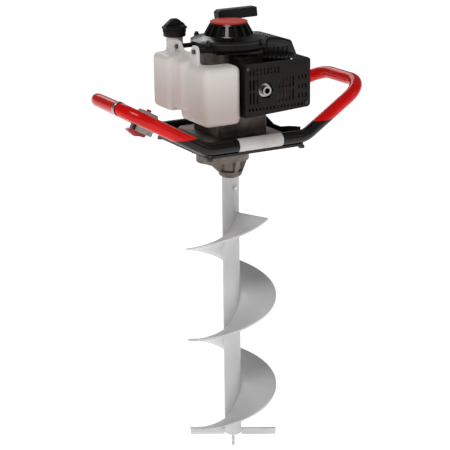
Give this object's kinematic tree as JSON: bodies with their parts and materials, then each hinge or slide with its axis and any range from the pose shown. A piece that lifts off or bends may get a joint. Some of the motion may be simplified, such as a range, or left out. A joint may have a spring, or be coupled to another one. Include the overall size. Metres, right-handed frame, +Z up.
{
  "type": "earth auger",
  "caption": "Petrol earth auger: engine, fuel tank and slotted exhaust guard on a looped red tube frame, over a gearbox that turns a helical bit.",
  "frame": {"origin": "tip of the bit's pilot point, on the drive axis", "axes": "+Z up along the drive axis, +X along the frame's front tube towards the right grip, +Y away from the exhaust side"},
  "size_m": [0.598, 0.2599, 1.005],
  "materials": {
    "frame_paint": "glossy red paint over black at the base of the tube",
    "plate_paint": "satin dark paint on flat steel",
    "black_steel": "black oxide fasteners",
    "cast_alloy": "sand-cast aluminium, dull grey-brown",
    "machined_steel": "ground and machined steel",
    "gear_steel": "hobbed gear steel with an oil film",
    "black_plastic": "textured black polymer",
    "gloss_black_plastic": "glossy black polymer",
    "red_plastic": "satin red polymer",
    "tank_plastic": "translucent natural polyethylene",
    "black_rubber": "moulded rubber",
    "clear_rubber": "clear soft primer rubber",
    "muffler_steel": "heat-browned pressed steel",
    "bright_steel": "bright plated steel",
    "bit_paint": "pale grey paint",
    "rope_braid": "braided cord",
    "foam": "oiled filter foam",
    "grey_plastic": "pale grey polymer",
    "trigger_plastic": "dark red polymer"
  },
  "bodies": {
    "powerhead": {"handlebar_frame": "frame_paint", "base_plate": "plate_paint", "side_gussets": "plate_paint", "frame_bolts": "black_steel", "gearbox_bolts": "black_steel", "gearbox_lower_housing": "cast_alloy", "gearbox_upper_housing": "cast_alloy", "crankcase": "cast_alloy", "engine_cylinder": "cast_alloy", "gearbox_bearings": "machined_steel", "main_bearings": "machined_steel", "output_seal": "black_rubber", "clutch_shoes": "machined_steel", "clutch_hub": "machined_steel", "crankshaft": "machined_steel", "connecting_rod": "machined_steel", "piston": "cast_alloy", "wrist_pin": "machined_steel", "spark_plug": "bright_steel", "plug_boot": "black_rubber", "flywheel": "cast_alloy", "ignition_coil": "black_plastic", "fan_housing": "black_plastic", "starter_housing": "gloss_black_plastic", "engine_screws": "black_steel", "starter_disc": "red_plastic", "recoil_spring": "machined_steel", "cylinder_cover": "gloss_black_plastic", "muffler": "muffler_steel", "exhaust_outlet": "bright_steel", "muffler_guard": "black_plastic", "fuel_tank": "tank_plastic", "intake_insulator": "black_plastic", "carburettor": "cast_alloy", "filter_base": "black_plastic", "filter_cover": "black_plastic", "filter_element": "foam", "throttle_housing": "grey_plastic", "trigger_pin": "machined_steel"},
    "bit": {"output_shaft": "machined_steel", "output_gear": "gear_steel", "bit_tube": "bit_paint", "bit_flight": "bit_paint", "cutting_blades": "bit_paint", "pilot_point": "bit_paint", "drive_pin": "machined_steel", "pin_clip": "bright_steel"},
    "countershaft_group": {"countershaft": "gear_steel", "counter_gear": "gear_steel"},
    "drum_group": {"clutch_drum": "machined_steel", "input_pinion": "gear_steel"},
    "pull_handle": {"starter_handle": "black_plastic"},
    "rope_pulley": {"starter_pulley": "black_plastic", "starter_rope": "rope_braid"},
    "trigger": {"throttle_trigger": "trigger_plastic"},
    "switch": {"stop_switch": "red_plastic"},
    "cap_carrier": {"cap_seal": "black_rubber"},
    "cap": {"fuel_cap": "black_plastic"},
    "choke": {"choke_lever": "black_plastic"},
    "primer": {"primer_bulb": "clear_rubber"}
  },
  "joints": [
    {"name": "bit_spin", "type": "hinge", "parent": "powerhead", "child": "bit", "pos_m": [0, 0, 0.6], "axis": [0, 0, -1], "continuous": true},
    {"name": "countershaft_spin", "type": "hinge", "parent": "powerhead", "child": "countershaft_group", "pos_m": [-0.0375, 0, 0.707], "axis": [0, 0, -1], "continuous": true},
    {"name": "drum_spin", "type": "hinge", "parent": "powerhead", "child": "drum_group", "pos_m": [0, 0, 0.747], "axis": [0, 0, -1], "continuous": true},
    {"name": "starter_pull", "type": "slide", "parent": "powerhead", "child": "pull_handle", "axis": [0, 0, 1], "range_m": [0, 0.55], "stiffness_N_per_m": 12, "springref_m": -0.3},
    {"name": "pulley_turn", "type": "hinge", "parent": "powerhead", "child": "rope_pulley", "pos_m": [0, 0, 0.937], "axis": [0, 0, 1], "range_deg": [0, 1059.5]},
    {"name": "throttle_trigger_pull", "type": "hinge", "parent": "powerhead", "child": "trigger", "pos_m": [-0.1545, 0.11029, 0.74302], "axis": [-0.1314, 0.9913, 0], "range_deg": [0, 11], "stiffness_Nm_per_rad": 0.12, "springref_deg": -8.59},
    {"name": "stop_switch_slide", "type": "slide", "parent": "powerhead", "child": "switch", "axis": [-0.8644, -0.1146, 0.4895], "range_m": [0, 0.0065]},
    {"name": "cap_lift", "type": "slide", "parent": "powerhead", "child": "cap_carrier", "axis": [0, 0, 1], "range_m": [0, 0.0062]},
    {"name": "cap_turn", "type": "hinge", "parent": "cap_carrier", "child": "cap", "pos_m": [-0.101, 0.056, 0.982], "axis": [0, 0, 1], "range_deg": [0, 540]},
    {"name": "choke_turn", "type": "hinge", "parent": "powerhead", "child": "choke", "pos_m": [0.1053, 0.08, 0.863], "axis": [-1, 0, 0], "range_deg": [0, 70]},
    {"name": "primer_press", "type": "slide", "parent": "powerhead", "child": "primer", "axis": [0, 0, 1], "range_m": [0, 0.004], "stiffness_N_per_m": 400, "deforming": ["primer_bulb"]}
  ],
  "couplings": [
    {"joint": "countershaft_spin", "follows": "bit_spin", "ratio": -4.5556},
    {"joint": "drum_spin", "follows": "bit_spin", "ratio": 29.611},
    {"joint": "pulley_turn", "follows": "starter_pull", "rad_per_m": 33.557},
    {"joint": "cap_lift", "follows": "cap_turn", "m_per_rad": 0.0006366}
  ]
}
